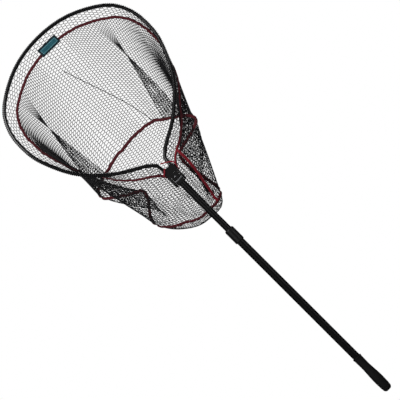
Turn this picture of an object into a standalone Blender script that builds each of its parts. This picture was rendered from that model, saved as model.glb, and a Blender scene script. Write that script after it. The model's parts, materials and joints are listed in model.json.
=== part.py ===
# Landing net with a folding head and a telescopic handle.
# Metres, +Z up along the handle, origin at the centre of the butt end.
# The mouth of the hoop faces -Y and the bag hangs behind it, at +Y.
import bmesh
import bpy
import numpy as np
from math import cos, pi, sin
from mathutils import Vector

# handle
LOWER_RADIUS = 0.0133
TUBE_WALL = 0.0011
TUBE_CLEARANCE = 0.0007
UPPER_RADIUS = LOWER_RADIUS - TUBE_WALL - TUBE_CLEARANCE
LOWER_TOP = 0.700
LOWER_FOOT = 0.0105
UPPER_FOOT = 0.215
GRIP_TOP = 0.1477
GRIP_WALL = 0.0027
GRIP_RADIUS = LOWER_RADIUS + GRIP_WALL
BUTT_HEIGHT = 0.014
BUTT_FLAT = 0.006
# twist lock
COLLAR_FOOT = 0.6774
COLLAR_TOP = 0.7326
COLLET_WALL = 0.0011
COLLET_RADIUS = LOWER_RADIUS + COLLET_WALL
COLLAR_WALL = 0.0022
COLLAR_RADIUS = COLLET_RADIUS + COLLAR_WALL
# block and its pivot
BLOCK_FOOT = 0.9436
BLOCK_TOP = 1.0120
BLOCK_WIDTH = 0.045
BRIDGE_FOOT = 0.9855
PIVOT_Y = -UPPER_RADIUS - 0.0005
PIVOT_Z = 0.958
PIN_RADIUS = 0.003
YOKE_REAR = 0.012
YOKE_FRONT = PIVOT_Y + 0.002
CHEEK_RADIUS = 0.008
CHEEK_THICKNESS = 0.0075
KNUCKLE_FRONT = PIVOT_Y - 0.002
KNUCKLE_REAR = 0.014
PLUG_LENGTH = 0.040
BUTTON_Z = 0.9736
BUTTON_RADIUS = 0.0028
POCKET_RADIUS = 0.0044
POCKET_LIP = 0.0022
SCREW_RADIUS = 0.0015
# hoop
HOOP_RADIUS = 0.006
HOOP_WALL = 0.0010
HOOP_HALF_WIDTH = 0.2845
HOOP_LENGTH = 0.591
ARM_X = HOOP_RADIUS + 0.0074
SOCKET_DEPTH = 0.020
# bag
NET_THICKNESS = 0.0006
RIM_DROP = 0.045
BAG_REAR_Z = 1.150
BAG_FRONT_Z = 0.845
BAG_LOW_Z = 0.8095
BAG_REAR_Y = 0.085
BAG_FRONT_Y = 0.050
BASE_REAR_Y = 0.125
TAPE_WIDTH = 0.009
TAPE_THICKNESS = 0.0010
LABEL_WIDTH = 0.077
LABEL_HEIGHT = 0.030
LABEL_X = 0.015
LABEL_DROP = 0.003
SEAM_LIFT = 0.0035
TAIL_RADIUS = 0.0018
# clearances
GAP = 0.0003
RUN = 0.0003
ROUND = 40
BAG_COLUMNS = 56

# the right half of the hoop's centre line above the block, from the arm to the bow,
# as shares of its half width and its length
HOOP_SHAPE = [(0.136, 0.081), (0.474, 0.179), (0.777, 0.325), (0.956, 0.501), (1.0, 0.624),
              (0.967, 0.750), (0.814, 0.864), (0.425, 0.968), (0.0, 1.0)]


def clear_scene():
    for obj in list(bpy.data.objects):
        bpy.data.objects.remove(obj)


def material(name, colour, roughness, metallic=0.0):
    made = bpy.data.materials.new(name)
    made.use_nodes = True
    shader = made.node_tree.nodes["Principled BSDF"]
    shader.inputs["Base Color"].default_value = (*colour, 1.0)
    shader.inputs["Roughness"].default_value = roughness
    shader.inputs["Metallic"].default_value = metallic
    made.diffuse_color = (*colour, 1.0)
    return made


def add_object(name, data, look, collection, axis=None):
    obj = bpy.data.objects.new(name, data)
    collection.objects.link(obj)
    if look:
        data.materials.append(look)
    if axis:
        obj.parent = axis
        obj.matrix_parent_inverse = axis.matrix_world.inverted()
    return obj


def joint_axis(name, location, collection):
    empty = bpy.data.objects.new(name, None)
    empty.location = location
    empty.empty_display_size = 0.03
    collection.objects.link(empty)
    bpy.context.view_layer.update()
    return empty


def modifier(obj, name, kind, **values):
    made = obj.modifiers.new(name, kind)
    for key, value in values.items():
        setattr(made, key, value)
    return made


# a turned piece: profile points are (radius, height), down the outer side, and closed for a ring
def turned(name, profile, look, collection, axis=None, ring=False, sides=ROUND):
    mesh = bpy.data.meshes.new(name)
    points = [(radius, 0.0, height) for radius, height in profile]
    edges = [(i, i + 1) for i in range(len(points) - 1)]
    if ring:
        edges.append((len(points) - 1, 0))
    mesh.from_pydata(points, edges, [])
    obj = add_object(name, mesh, look, collection, axis)
    modifier(obj, "turn", "SCREW", angle=2 * pi, steps=sides, render_steps=sides, axis="Z",
             use_merge_vertices=True, merge_threshold=0.00001, use_smooth_shade=True)
    return obj


def box_mesh(name, low, high):
    mesh = bpy.data.meshes.new(name)
    shape = bmesh.new()
    bmesh.ops.create_cube(shape, size=1.0)
    size = Vector(high) - Vector(low)
    middle = (Vector(high) + Vector(low)) / 2
    for vertex in shape.verts:
        vertex.co = Vector((vertex.co.x * size.x, vertex.co.y * size.y, vertex.co.z * size.z)) + middle
    shape.to_mesh(mesh)
    shape.free()
    return mesh


# a cylinder along X, Y or Z from one end to the other
def rod_mesh(name, along, centre, radius, start, end, sides=24):
    mesh = bpy.data.meshes.new(name)
    shape = bmesh.new()
    bmesh.ops.create_cone(shape, cap_ends=True, segments=sides, radius1=radius, radius2=radius,
                          depth=end - start)
    turn = Vector((0, 0, 1)).rotation_difference(Vector(along)).to_matrix()
    shift = Vector(centre) + Vector(along) * ((start + end) / 2)
    for vertex in shape.verts:
        vertex.co = turn @ vertex.co + shift
    shape.to_mesh(mesh)
    shape.free()
    return mesh


def cutter(mesh, cutters):
    obj = add_object(mesh.name, mesh, None, cutters)
    obj.hide_render = True
    obj.display_type = "WIRE"
    return obj


def cut(obj, tools, operation="DIFFERENCE"):
    for tool in tools:
        modifier(obj, tool.name, "BOOLEAN", object=tool, operation=operation, solver="EXACT")


# an outline in the YZ plane given thickness along X
def side_plate(name, outline, half_width, look, collection, axis):
    curve = bpy.data.curves.new(name, "CURVE")
    curve.dimensions = "2D"
    curve.fill_mode = "BOTH"
    curve.extrude = half_width
    spline = curve.splines.new("POLY")
    spline.points.add(len(outline) - 1)
    for point, (y, z) in zip(spline.points, outline):
        point.co = (y, z, 0.0, 1.0)
    spline.use_cyclic_u = True
    flat = bpy.data.objects.new(name + "_outline", curve)
    collection.objects.link(flat)
    flat.rotation_euler = (pi / 2, 0, pi / 2)
    bpy.context.view_layer.update()
    mesh = bpy.data.meshes.new_from_object(flat.evaluated_get(bpy.context.evaluated_depsgraph_get()))
    mesh.transform(flat.matrix_world)
    bpy.data.objects.remove(flat)
    shape = bmesh.new()
    shape.from_mesh(mesh)
    bmesh.ops.remove_doubles(shape, verts=shape.verts, dist=0.00001)
    bmesh.ops.dissolve_limit(shape, angle_limit=0.001, verts=shape.verts, edges=shape.edges)
    bmesh.ops.recalc_face_normals(shape, faces=shape.faces)
    shape.to_mesh(mesh)
    shape.free()
    mesh.name = name
    mesh.materials.clear()
    return add_object(name, mesh, look, collection, axis)


def arc(centre, radius, start, end, steps):
    return [(centre[0] + radius * cos(start + (end - start) * i / steps),
             centre[1] + radius * sin(start + (end - start) * i / steps)) for i in range(steps + 1)]


# a smooth curve through the points (Catmull-Rom)
def smooth_path(points, steps):
    knots = [np.array(point, dtype=float) for point in points]
    padded = [2 * knots[0] - knots[1]] + knots + [2 * knots[-1] - knots[-2]]
    path = []
    for i in range(1, len(padded) - 2):
        a, b, c, d = padded[i - 1:i + 3]
        for step in range(steps):
            t = step / steps
            path.append(0.5 * (2 * b + (c - a) * t + (2 * a - 5 * b + 4 * c - d) * t ** 2
                               + (3 * b - a - 3 * c + d) * t ** 3))
    path.append(knots[-1])
    return path


# points at equal distances along a path
def even_path(path, count):
    lengths = [0.0]
    for first, second in zip(path, path[1:]):
        lengths.append(lengths[-1] + float(np.linalg.norm(second - first)))
    wanted = np.linspace(0.0, lengths[-1], count)
    return np.array([np.interp(wanted, lengths, [point[k] for point in path])
                     for k in range(len(path[0]))]).T


# the hoop's right half from the block to the bow: x and z
def hoop_half(count):
    entry = [(ARM_X, BLOCK_TOP), (ARM_X + 0.0012, BLOCK_TOP + 0.020)]
    rest = [(share_x * HOOP_HALF_WIDTH, BLOCK_TOP + share_z * HOOP_LENGTH)
            for share_x, share_z in HOOP_SHAPE]
    mirrored = [(-x, z) for x, z in reversed(rest[-3:-1])]
    path = smooth_path(entry + rest + mirrored, 12)
    return even_path(path[:12 * (len(entry) + len(rest) - 1) + 1], count)


def tube_curve(name, points, radius, resolution, look, collection, axis, caps=True):
    curve = bpy.data.curves.new(name, "CURVE")
    curve.dimensions = "3D"
    curve.bevel_depth = radius
    curve.bevel_resolution = resolution
    curve.use_fill_caps = caps
    spline = curve.splines.new("POLY")
    spline.points.add(len(points) - 1)
    for point, place in zip(spline.points, points):
        point.co = (*place, 1.0)
    return add_object(name, curve, look, collection, axis)


# ---- the bag's surface -------------------------------------------------------------------

# closed loop of the mouth, from the bottom of the right arm round the bow to the left arm
def mouth_loop():
    right = hoop_half(BAG_COLUMNS // 2)
    left = [(-x, z) for x, z in right[-2::-1]]
    return [tuple(point) for point in right] + left


def share_up(z):
    return min(max((z - BLOCK_TOP) / HOOP_LENGTH, 0.0), 1.0)


def ease(value):
    clipped = min(max(value, 0.0), 1.0)
    return clipped * clipped * (3 - 2 * clipped)


# the net's edge runs behind the hoop's tube, and further back behind the block
def edge_depth(x, z):
    behind_block = YOKE_REAR + 0.006
    behind_tube = HOOP_RADIUS + GAP + NET_THICKNESS
    clear_of_block = max(abs(x) - BLOCK_WIDTH / 2, z - BLOCK_TOP - 0.03)
    return behind_block + (behind_tube - behind_block) * ease(clear_of_block / 0.02)


# a point of the bag: down 0..1 is the rim band, 1..2 the side wall, 2..3 the bottom panel
def bag_point(place, down):
    x, z = place
    up = share_up(z)
    edge = np.array([x, edge_depth(x, z), z])
    beside_block = 1 - ease(up / 0.12)
    outward = 0.020 * beside_block * np.sign(x)
    upper = np.array([x * 0.95 + outward, edge[1] + 0.008, z - RIM_DROP * (1 - 0.5 * beside_block)])
    spread = 0.74 + 0.25 * (1 - ease(up / 0.35))
    lower = np.array([x * spread, BAG_FRONT_Y + (BAG_REAR_Y - BAG_FRONT_Y) * ease(up),
                      BAG_FRONT_Z + (BAG_REAR_Z - BAG_FRONT_Z) * up])
    middle = np.array([0.0, BASE_REAR_Y, BAG_LOW_Z + 0.45 * (BAG_REAR_Z - BAG_LOW_Z)])
    if down <= 1:
        return edge + (upper - edge) * down
    if down <= 2:
        share = down - 1
        point = upper + (lower - upper) * share
        sag = (1 - ease(up * 2.2)) * sin(pi * share ** 1.6)
        point[2] -= (BAG_FRONT_Z - BAG_LOW_Z) * 1.1 * sag
        # beside the block the wall starts behind the tape, because there it runs along the tape's edge
        behind_tape = 2.5 * (TAPE_THICKNESS + NET_THICKNESS) * beside_block * (1 - share)
        point[1] += 0.004 * sin(pi * share) + behind_tape
        return point
    share = down - 2
    point = lower + (middle - lower) * share
    point[1] += 0.3 * (BASE_REAR_Y - BAG_REAR_Y) * sin(pi * share)
    point[2] -= 0.05 * sin(pi * share) * (1 - up)
    return point


# rings of points joined into an open surface that runs round the bag
def bag_surface(name, rows, look, collection, axis, cap=False, thickness=NET_THICKNESS):
    loop = mouth_loop()
    shape = bmesh.new()
    rings = [[shape.verts.new(bag_point(place, down)) for place in loop] for down in rows]
    for upper, lower in zip(rings, rings[1:]):
        for i in range(len(upper)):
            j = (i + 1) % len(upper)
            shape.faces.new((upper[i], lower[i], lower[j], upper[j]))
    if cap:
        centre = shape.verts.new(bag_point((0.0, BLOCK_TOP), 3.0))
        last = rings[-1]
        for i in range(len(last)):
            shape.faces.new((last[i], centre, last[(i + 1) % len(last)]))
    return add_sheet(name, shape, thickness, look, collection, axis)


def add_sheet(name, shape, thickness, look, collection, axis):
    mesh = bpy.data.meshes.new(name)
    shape.to_mesh(mesh)
    shape.free()
    mesh.shade_smooth()
    obj = add_object(name, mesh, look, collection, axis)
    modifier(obj, "thickness", "SOLIDIFY", thickness=thickness, offset=0.0)
    return obj


# ---- handle ------------------------------------------------------------------------------

def make_lower_tube(look, parts):
    inner = LOWER_RADIUS - TUBE_WALL
    turned("lower_tube", [(inner, LOWER_TOP), (LOWER_RADIUS, LOWER_TOP), (LOWER_RADIUS, LOWER_FOOT),
                          (inner, LOWER_FOOT)], look, parts, ring=True)


def make_grip(look, parts):
    bore = LOWER_RADIUS + GAP
    foot = BUTT_HEIGHT + GAP
    outer = [(GRIP_RADIUS - 0.0010, GRIP_TOP), (GRIP_RADIUS + 0.0003, GRIP_TOP - 0.0012),
             (GRIP_RADIUS + 0.0003, GRIP_TOP - 0.0040), (GRIP_RADIUS - 0.0010, GRIP_TOP - 0.0060)]
    swell = [(GRIP_RADIUS - 0.0010 - 0.0008 * sin(pi * i / 4) + 0.0016 * ease(i / 8), z)
             for i, z in enumerate(np.linspace(GRIP_TOP - 0.014, foot + 0.012, 9))]
    heel = [(GRIP_RADIUS + 0.0004, foot + 0.004), (GRIP_RADIUS - 0.0002, foot)]
    turned("hand_grip", [(bore, GRIP_TOP)] + outer + swell + heel + [(bore, foot)], look, parts,
           ring=True)


def make_butt_cap(look, parts):
    stem = LOWER_RADIUS - TUBE_WALL - GAP
    seat = LOWER_FOOT - GAP
    rim = GRIP_RADIUS - 0.0004
    dome_height = 0.85 * BUTT_HEIGHT
    dome = [(BUTT_FLAT + (rim - BUTT_FLAT) * sin(pi / 12 * i), dome_height * (1 - cos(pi / 12 * i)))
            for i in range(6, -1, -1)]
    turned("butt_cap", [(0, 0.040), (stem - 0.001, 0.040), (stem, 0.038), (stem, seat),
                        (LOWER_RADIUS + GAP, seat), (LOWER_RADIUS + GAP, BUTT_HEIGHT),
                        (rim - 0.0003, BUTT_HEIGHT)] + dome + [(0, 0.0)], look, parts)


def make_twist_lock(look, dark, parts, axis):
    bore = UPPER_RADIUS + RUN
    sleeve_bore = LOWER_RADIUS + GAP
    shoulder = LOWER_TOP + GAP
    top = COLLAR_TOP - 0.0070
    turned("collet_sleeve", [(bore, top), (COLLET_RADIUS - 0.0012, top), (COLLET_RADIUS, top - 0.004),
                             (COLLET_RADIUS, COLLAR_FOOT + 0.0006), (sleeve_bore, COLLAR_FOOT + 0.0006),
                             (sleeve_bore, shoulder), (bore, shoulder)], dark, parts, ring=True)
    ring_foot = top + GAP
    turned("compression_ring", [(bore, ring_foot + 0.0040), (COLLET_RADIUS - 0.001, ring_foot + 0.0040),
                                (COLLET_RADIUS, ring_foot + 0.003), (COLLET_RADIUS, ring_foot),
                                (bore, ring_foot)], dark, parts, ring=True)
    inside = COLLET_RADIUS + RUN
    ceiling = ring_foot + 0.0040 + GAP
    chamfer = 0.0035
    turned("lock_collar", [(bore, COLLAR_TOP), (COLLAR_RADIUS - chamfer, COLLAR_TOP),
                           (COLLAR_RADIUS - 0.0008, COLLAR_TOP - chamfer * 0.7),
                           (COLLAR_RADIUS, COLLAR_TOP - chamfer * 1.6),
                           (COLLAR_RADIUS, COLLAR_FOOT + chamfer), (COLLAR_RADIUS - 0.0010, COLLAR_FOOT),
                           (inside, COLLAR_FOOT), (inside, ceiling), (bore, ceiling)], look, parts, axis,
           ring=True)


def make_upper_tube(look, dark, parts, slide_axis, turn_axis):
    inner = UPPER_RADIUS - TUBE_WALL
    turned("upper_tube", [(inner, BLOCK_FOOT - GAP), (UPPER_RADIUS, BLOCK_FOOT - GAP),
                          (UPPER_RADIUS, UPPER_FOOT), (inner, UPPER_FOOT)], look, parts, turn_axis,
           ring=True)
    spigot = inner - RUN
    rub = LOWER_RADIUS - TUBE_WALL - RUN
    seat = UPPER_FOOT - RUN
    turned("guide_bush", [(0, UPPER_FOOT + 0.028), (spigot - 0.001, UPPER_FOOT + 0.028),
                          (spigot, UPPER_FOOT + 0.026), (spigot, seat), (rub, seat),
                          (rub, seat - 0.016), (rub - 0.0012, seat - 0.018), (0, seat - 0.018)],
           dark, parts, slide_axis)


# ---- block -------------------------------------------------------------------------------

def make_knuckle(look, dark, steel, parts, cutters, axis, button_axis):
    half = BLOCK_WIDTH / 2 - CHEEK_THICKNESS - 0.0004
    top = BRIDGE_FOOT - GAP - 0.0002
    body = box_mesh("knuckle", (-half, KNUCKLE_FRONT, BLOCK_FOOT), (half, KNUCKLE_REAR, top))
    knuckle = add_object("knuckle", body, look, parts, axis)
    modifier(knuckle, "edges", "BEVEL", width=0.0012, segments=2)
    inner = UPPER_RADIUS - TUBE_WALL - GAP
    plug_foot = BLOCK_FOOT - PLUG_LENGTH
    plug = cutter(rod_mesh("knuckle_plug", (0, 0, 1), (0, 0, 0), inner, plug_foot, BLOCK_FOOT + 0.004,
                           32), cutters)
    cut(knuckle, [plug], "UNION")
    bore = cutter(rod_mesh("pin_bore", (1, 0, 0), (0, PIVOT_Y, PIVOT_Z), PIN_RADIUS + RUN, -0.03, 0.03),
                  cutters)
    # the pin lies close to the front face, so its bore opens there as a round-bottomed groove
    slot = cutter(box_mesh("pin_slot", (-0.03, KNUCKLE_FRONT - 0.002, PIVOT_Z - PIN_RADIUS - RUN),
                           (0.03, PIVOT_Y, PIVOT_Z + PIN_RADIUS + RUN)), cutters)
    mouth = cutter(rod_mesh("button_hole", (0, 1, 0), (0, 0, BUTTON_Z), BUTTON_RADIUS + RUN,
                            KNUCKLE_FRONT - 0.002, 0.0), cutters)
    pocket = cutter(rod_mesh("button_pocket", (0, 1, 0), (0, 0, BUTTON_Z), POCKET_RADIUS,
                             KNUCKLE_FRONT + POCKET_LIP, KNUCKLE_REAR + 0.002), cutters)
    screw_z = BLOCK_FOOT - PLUG_LENGTH / 2
    screw_hole = cutter(rod_mesh("knuckle_screw_hole", (0, 1, 0), (0, 0, screw_z), SCREW_RADIUS + GAP,
                                 -0.002, 0.02), cutters)
    cut(knuckle, [bore, slot, mouth, pocket, screw_hole])
    tube_hole = cutter(rod_mesh("tube_screw_hole", (0, 1, 0), (0, 0, screw_z), SCREW_RADIUS + GAP,
                                0.002, 0.02), cutters)
    cut(bpy.data.objects["upper_tube"], [tube_hole])
    screw = add_object("knuckle_screw", rod_mesh("knuckle_screw", (0, 1, 0), (0, 0, screw_z), SCREW_RADIUS,
                                                 -0.001, UPPER_RADIUS + 0.0005), steel, parts, axis)
    head = cutter(rod_mesh("knuckle_screw_head", (0, 1, 0), (0, 0, screw_z), 0.0028,
                           UPPER_RADIUS + GAP, UPPER_RADIUS + 0.0018), cutters)
    cut(screw, [head], "UNION")
    make_button(dark, steel, parts, cutters, axis, button_axis)


def make_button(dark, steel, parts, cutters, axis, button_axis):
    lip = KNUCKLE_FRONT + POCKET_LIP
    flange = POCKET_RADIUS - RUN
    button = add_object("lock_button", rod_mesh("lock_button", (0, 1, 0), (0, 0, BUTTON_Z),
                                                BUTTON_RADIUS, KNUCKLE_FRONT - 0.0030, lip + 0.001),
                        steel, parts, button_axis)
    modifier(button, "dome", "BEVEL", width=0.0012, segments=3, limit_method="ANGLE")
    ring = cutter(rod_mesh("button_flange", (0, 1, 0), (0, 0, BUTTON_Z), flange, lip + GAP, lip + 0.0022),
                  cutters)
    cut(button, [ring], "UNION")
    spring_front = lip + 0.0022 + GAP
    spring_rear = KNUCKLE_REAR - 0.0045
    turns = 5
    wire = 0.00045
    coil = flange - wire - 0.0004
    points = [(coil * cos(2 * pi * turns * i / (turns * 10)),
               spring_front + wire + (spring_rear - spring_front - 2 * wire) * i / (turns * 10),
               BUTTON_Z + coil * sin(2 * pi * turns * i / (turns * 10))) for i in range(turns * 10 + 1)]
    tube_curve("button_spring", points, wire, 1, steel, parts, axis)
    plug = rod_mesh("pocket_plug", (0, 1, 0), (0, 0, BUTTON_Z), POCKET_RADIUS - GAP,
                    spring_rear + GAP, KNUCKLE_REAR - 0.0002)
    add_object("pocket_plug", plug, dark, parts, axis)


def make_yoke(look, steel, parts, cutters, axis):
    half = BLOCK_WIDTH / 2
    slot_half = half - CHEEK_THICKNESS
    nose = arc((PIVOT_Y, PIVOT_Z), CHEEK_RADIUS, pi * 0.83, pi * 1.45, 8)
    outline = ([(YOKE_REAR - 0.002, BLOCK_TOP), (YOKE_FRONT + 0.003, BLOCK_TOP),
                (YOKE_FRONT, BLOCK_TOP - 0.003), (YOKE_FRONT, BRIDGE_FOOT + 0.001)] + nose
               + [(-0.004, BLOCK_FOOT), (YOKE_REAR - 0.002, BLOCK_FOOT), (YOKE_REAR, BLOCK_FOOT + 0.002),
                  (YOKE_REAR, BLOCK_TOP - 0.002)])
    yoke = side_plate("yoke", outline, half, look, parts, axis)
    slot = cutter(box_mesh("tongue_slot", (-slot_half, -0.04, BLOCK_FOOT - 0.01),
                           (slot_half, 0.04, BRIDGE_FOOT)), cutters)
    bore = cutter(rod_mesh("cheek_bore", (1, 0, 0), (0, PIVOT_Y, PIVOT_Z), PIN_RADIUS + GAP, -0.03, 0.03),
                  cutters)
    tools = [slot]
    for side, name in ((-1, "left"), (1, "right")):
        tools.append(cutter(rod_mesh("arm_socket_" + name, (0, 0, 1), (side * ARM_X, 0, 0),
                                     HOOP_RADIUS + GAP, BLOCK_TOP - SOCKET_DEPTH, BLOCK_TOP + 0.01), cutters))
        tools.append(cutter(rod_mesh("yoke_screw_hole_" + name, (0, 1, 0),
                                     (side * ARM_X, 0, BLOCK_TOP - 0.010), SCREW_RADIUS + GAP, 0.0, 0.02),
                            cutters))
    cut(yoke, tools + [bore])
    cap = 0.0016
    reach = half + GAP
    pin = add_object("pivot_pin", rod_mesh("pivot_pin", (1, 0, 0), (0, PIVOT_Y, PIVOT_Z), PIN_RADIUS,
                                           -reach - cap / 2, reach + 0.0026), steel, parts, axis)
    head = cutter(rod_mesh("pin_head", (1, 0, 0), (0, PIVOT_Y, PIVOT_Z), PIN_RADIUS + 0.0018,
                           -reach - cap, -reach), cutters)
    cut(pin, [head], "UNION")
    washer = add_object("pivot_washer", rod_mesh("pivot_washer", (1, 0, 0), (0, PIVOT_Y, PIVOT_Z),
                                                 PIN_RADIUS + 0.0018, reach, reach + 0.0012),
                        steel, parts, axis)
    hole = cutter(rod_mesh("washer_hole", (1, 0, 0), (0, PIVOT_Y, PIVOT_Z), PIN_RADIUS + GAP, 0.0, 0.04),
                  cutters)
    cut(washer, [hole])


# ---- hoop --------------------------------------------------------------------------------

def make_hoop(look, steel, parts, cutters, axis):
    right = hoop_half(30)
    foot = BLOCK_TOP - SOCKET_DEPTH + GAP
    half = [(ARM_X, 0, foot)] + [(x, 0, z) for x, z in right]
    points = half + [(-x, y, z) for x, y, z in half[-2::-1]]
    curve = tube_curve("hoop_line", points, HOOP_RADIUS, 4, look, parts, axis, caps=False)
    bpy.context.view_layer.update()
    mesh = bpy.data.meshes.new_from_object(curve.evaluated_get(bpy.context.evaluated_depsgraph_get()))
    mesh.name = "hoop"
    bpy.data.objects.remove(curve)
    hoop = add_object("hoop", mesh, None, parts, axis)
    modifier(hoop, "wall", "SOLIDIFY", thickness=HOOP_WALL, offset=-1.0)
    holes = []
    for side, name in ((-1, "left"), (1, "right")):
        place = (side * ARM_X, 0, BLOCK_TOP - 0.010)
        holes.append(cutter(rod_mesh("arm_screw_hole_" + name, (0, 1, 0), place, SCREW_RADIUS + GAP,
                                     0.0, 0.02), cutters))
        screw = add_object("hoop_screw_" + name, rod_mesh("hoop_screw_" + name, (0, 1, 0), place,
                                                          SCREW_RADIUS, 0.002, YOKE_REAR + 0.0005),
                           steel, parts, axis)
        head = cutter(rod_mesh("hoop_screw_head_" + name, (0, 1, 0), place, 0.0030, YOKE_REAR + GAP,
                               YOKE_REAR + 0.0019), cutters)
        cut(screw, [head], "UNION")
    cut(hoop, holes)


# ---- bag ---------------------------------------------------------------------------------

# a narrow tape down the front of the wall, over the seam that closes it
def make_seam_tape(look, parts, axis):
    foot_x, foot_z = hoop_half(BAG_COLUMNS // 2)[2]
    half = TAPE_WIDTH / 2
    shape = bmesh.new()
    rows = []
    for down in np.linspace(1.06, 1.84, 14):
        left = bag_point((foot_x - half, foot_z - half * 0.6), down)
        right = bag_point((foot_x + half, foot_z + half * 0.6), down)
        rows.append([shape.verts.new(point - (0, SEAM_LIFT, 0)) for point in (left, right)])
    for upper, lower in zip(rows, rows[1:]):
        shape.faces.new((upper[0], lower[0], lower[1], upper[1]))
    add_sheet("seam_tape", shape, TAPE_THICKNESS, look, parts, axis)


# tape ends tied in front of the arms, just above the block
def make_tape_tails(look, parts, axis):
    front = -HOOP_RADIUS - TAIL_RADIUS - 2 * GAP
    side = BLOCK_WIDTH / 2 + TAIL_RADIUS + 2 * GAP
    knot = BLOCK_TOP - 0.009
    right = [(side, -0.004, knot - 0.023), (side + 0.002, front / 2, knot - 0.009),
             (side + 0.0045, front, knot + 0.001), (side + 0.001, front, knot + 0.0125),
             (side - 0.012, front, knot + 0.021), (-0.007, front, knot + 0.033)]
    ahead = YOKE_FRONT - TAIL_RADIUS - 4 * GAP
    # its end lies back over the block's top, so that it clears the tube with the head folded
    left = [(-side, -0.004, BLOCK_TOP - 0.022), (-side - 0.0012, ahead - 0.001, BLOCK_TOP - 0.013),
            (-side + 0.007, ahead - 0.001, BLOCK_TOP - 0.0065), (-ARM_X, ahead, BLOCK_TOP - 0.0015),
            (-0.006, front - 0.0012, BLOCK_TOP + 0.0025)]
    branch = [(side + 0.010, front, knot + 0.006), (side + 0.022, front * 0.7, knot + 0.018),
              (side + 0.038, front * 0.4, knot + 0.030), (side + 0.050, front * 0.2, knot + 0.036)]
    for name, points in (("tape_tail_right", right), ("tape_tail_left", left), ("tape_branch", branch)):
        tube_curve(name, smooth_path(points, 4), TAIL_RADIUS, 2, look, parts, axis)


# a woven label sewn on the upper tape at the bow
def make_label(look, parts, axis):
    middle = BLOCK_TOP + HOOP_LENGTH - RIM_DROP - LABEL_DROP
    front = bag_point((0.0, BLOCK_TOP + HOOP_LENGTH), 0.6)[1] - 2 * NET_THICKNESS
    label = add_object("net_label", box_mesh(
        "net_label", (LABEL_X - LABEL_WIDTH / 2, front - TAPE_THICKNESS, middle - LABEL_HEIGHT / 2),
        (LABEL_X + LABEL_WIDTH / 2, front, middle + LABEL_HEIGHT / 2)), look, parts, axis)
    modifier(label, "edges", "BEVEL", width=0.0002, segments=1)


def make_bag(net, tape, bright, woven, parts, axis):
    band = TAPE_WIDTH / RIM_DROP
    seam = 0.05
    bag_surface("net_rim", [0.0, 0.45, 1.0 - band - seam], net, parts, axis)
    bag_surface("upper_tape", [1.0 - band, 1.0], tape, parts, axis, thickness=TAPE_THICKNESS)
    bag_surface("net_wall", [1.045] + [1.0 + i / 10 for i in range(1, 10)] + [1.95], net, parts, axis)
    bag_surface("lower_tape", [1.97, 2.0], tape, parts, axis, thickness=TAPE_THICKNESS)
    bag_surface("net_base", [2.02, 2.15, 2.35, 2.6, 2.8], net, parts, axis, cap=True)
    make_seam_tape(bright, parts, axis)
    make_tape_tails(bright, parts, axis)
    make_label(woven, parts, axis)


def main():
    clear_scene()
    parts = bpy.data.collections.new("landing_net")
    cutters = bpy.data.collections.new("cutters")
    bpy.context.scene.collection.children.link(parts)
    bpy.context.scene.collection.children.link(cutters)
    collar_axis = joint_axis("collar_axis", (0, 0, COLLAR_TOP), parts)
    slide_axis = joint_axis("slide_axis", (0, 0, UPPER_FOOT), parts)
    turn_axis = joint_axis("turn_axis", (0, 0, UPPER_FOOT), parts)
    fold_axis = joint_axis("fold_axis", (0, PIVOT_Y, PIVOT_Z), parts)
    button_axis = joint_axis("button_axis", (0, KNUCKLE_FRONT, BUTTON_Z), parts)
    black_tube = material("anodised_black", (0.02, 0.02, 0.022), 0.35, 0.6)
    gloss_tube = material("hoop_black", (0.015, 0.015, 0.016), 0.25)
    rubber = material("grip_black", (0.018, 0.018, 0.019), 0.8)
    plastic = material("moulded_black", (0.015, 0.015, 0.016), 0.55)
    inner_plastic = material("inner_black", (0.03, 0.03, 0.03), 0.6)
    steel = material("steel", (0.75, 0.75, 0.76), 0.25, 1.0)
    net = material("net_black", (0.02, 0.02, 0.02), 0.7)
    tape = material("tape_red", (0.25, 0.02, 0.03), 0.8)
    bright = material("tape_bright_red", (0.5, 0.03, 0.04), 0.8)
    woven = material("label_teal", (0.03, 0.2, 0.25), 0.7)
    make_lower_tube(black_tube, parts)
    make_grip(rubber, parts)
    make_butt_cap(rubber, parts)
    make_twist_lock(plastic, inner_plastic, parts, collar_axis)
    make_upper_tube(black_tube, inner_plastic, parts, slide_axis, turn_axis)
    make_knuckle(plastic, inner_plastic, steel, parts, cutters, turn_axis, button_axis)
    make_yoke(plastic, steel, parts, cutters, fold_axis)
    make_hoop(gloss_tube, steel, parts, cutters, fold_axis)
    make_bag(net, tape, bright, woven, parts, fold_axis)


main()
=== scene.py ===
import bpy
import json
import math
import numpy as np
from mathutils import Matrix, Vector


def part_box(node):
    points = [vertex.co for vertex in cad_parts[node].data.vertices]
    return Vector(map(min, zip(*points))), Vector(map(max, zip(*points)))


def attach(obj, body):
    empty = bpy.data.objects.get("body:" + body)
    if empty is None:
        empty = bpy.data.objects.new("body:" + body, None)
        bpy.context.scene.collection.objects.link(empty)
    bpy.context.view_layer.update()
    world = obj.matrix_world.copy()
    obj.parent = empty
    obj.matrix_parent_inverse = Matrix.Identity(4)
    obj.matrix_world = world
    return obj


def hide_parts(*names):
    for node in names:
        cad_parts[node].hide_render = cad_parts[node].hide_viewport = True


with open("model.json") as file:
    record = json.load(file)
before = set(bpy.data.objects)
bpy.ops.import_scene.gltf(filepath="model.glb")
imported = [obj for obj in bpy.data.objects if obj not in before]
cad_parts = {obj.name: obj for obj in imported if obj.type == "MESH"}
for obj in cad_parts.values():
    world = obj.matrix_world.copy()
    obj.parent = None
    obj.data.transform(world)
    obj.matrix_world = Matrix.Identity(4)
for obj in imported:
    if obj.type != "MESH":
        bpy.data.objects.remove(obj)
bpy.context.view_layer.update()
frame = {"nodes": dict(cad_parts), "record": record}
nodes = frame["nodes"]
scene = bpy.context.scene


# camera, light and floor

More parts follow.
